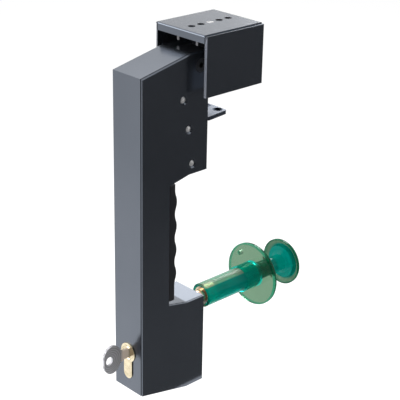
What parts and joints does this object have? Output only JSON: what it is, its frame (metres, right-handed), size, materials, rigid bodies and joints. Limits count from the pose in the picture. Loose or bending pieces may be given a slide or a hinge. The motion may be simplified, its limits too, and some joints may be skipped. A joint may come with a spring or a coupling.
{
  "type": "cold room door latch",
  "caption": "Lever latch for an overlapping cold room door: key-locked pull lever, hooded roller keeper and an inside push release through the door.",
  "frame": {"origin": "corner where the door's outer face (Y = 0) meets the door's edge (Z = 0), on the latch's centre line", "axes": "+Y into the room through the door, +Z along the lever from the door's edge towards the keeper (up, as the latch is shown), +X to the right seen from outside"},
  "size_m": [0.0584, 0.219, 0.3131],
  "materials": {
    "satin_steel": "dark satin coat",
    "black_plastic": "fine-grained matt",
    "plain_steel": "turned",
    "bright_steel": "bright",
    "zinc_plate": "blue zinc plate",
    "bearing_plastic": "smooth",
    "spring_steel": "drawn wire",
    "die_cast": "as cast",
    "brass": "machined",
    "sintered_steel": "sintered",
    "nickel": "brushed nickel plate",
    "green_plastic": "translucent, glows in the dark"
  },
  "bodies": {
    "door_side": {"base_bracket": "zinc_plate", "pivot_bushes": "bearing_plastic", "return_springs": "spring_steel", "keeper_hood": "satin_steel", "striker_carriage": "zinc_plate", "roller_axle": "bright_steel", "setting_screw": "bright_steel", "lock_staple": "zinc_plate", "release_tube": "green_plastic", "rod_guide": "brass", "inside_flange": "green_plastic"},
    "lever": {"lever_channel": "satin_steel", "side_plate": "satin_steel", "grip_moulding": "black_plastic", "spacer_pillars": "plain_steel", "side_plate_screws": "bright_steel", "housing_screws": "bright_steel", "pivot_pin": "bright_steel", "latch_hook": "zinc_plate", "lock_housing": "die_cast", "lock_cylinder": "brass", "cylinder_screw": "bright_steel"},
    "lock_plug": {"cylinder_plug": "brass", "lock_cam": "sintered_steel", "key": "nickel"},
    "roller": {"striker_roller": "bright_steel"},
    "release": {"release_rod": "brass", "release_knob": "green_plastic"}
  },
  "joints": [
    {"name": "lever_swing", "type": "hinge", "parent": "door_side", "child": "lever", "pos_m": [0, -0.0092, 0.0485], "axis": [-1, 0, 0], "range_deg": [0, 9], "stiffness_Nm_per_rad": 0.8, "springref_deg": -28.65, "deforming": ["return_springs"]},
    {"name": "release_slide", "type": "slide", "parent": "door_side", "child": "release", "axis": [0, -1, 0], "range_m": [0, 0.034]},
    {"name": "roller_turn", "type": "hinge", "parent": "door_side", "child": "roller", "pos_m": [0, 0.0162, 0.047], "axis": [1, 0, 0], "continuous": true},
    {"name": "key_turn", "type": "hinge", "parent": "lever", "child": "lock_plug", "pos_m": [0, -0.074, -0.192], "axis": [0, -1, 0], "range_deg": [-90, 0]}
  ],
  "couplings": [
    {"joint": "release_slide", "follows": "lever_swing", "m_per_rad": 0.216}
  ]
}
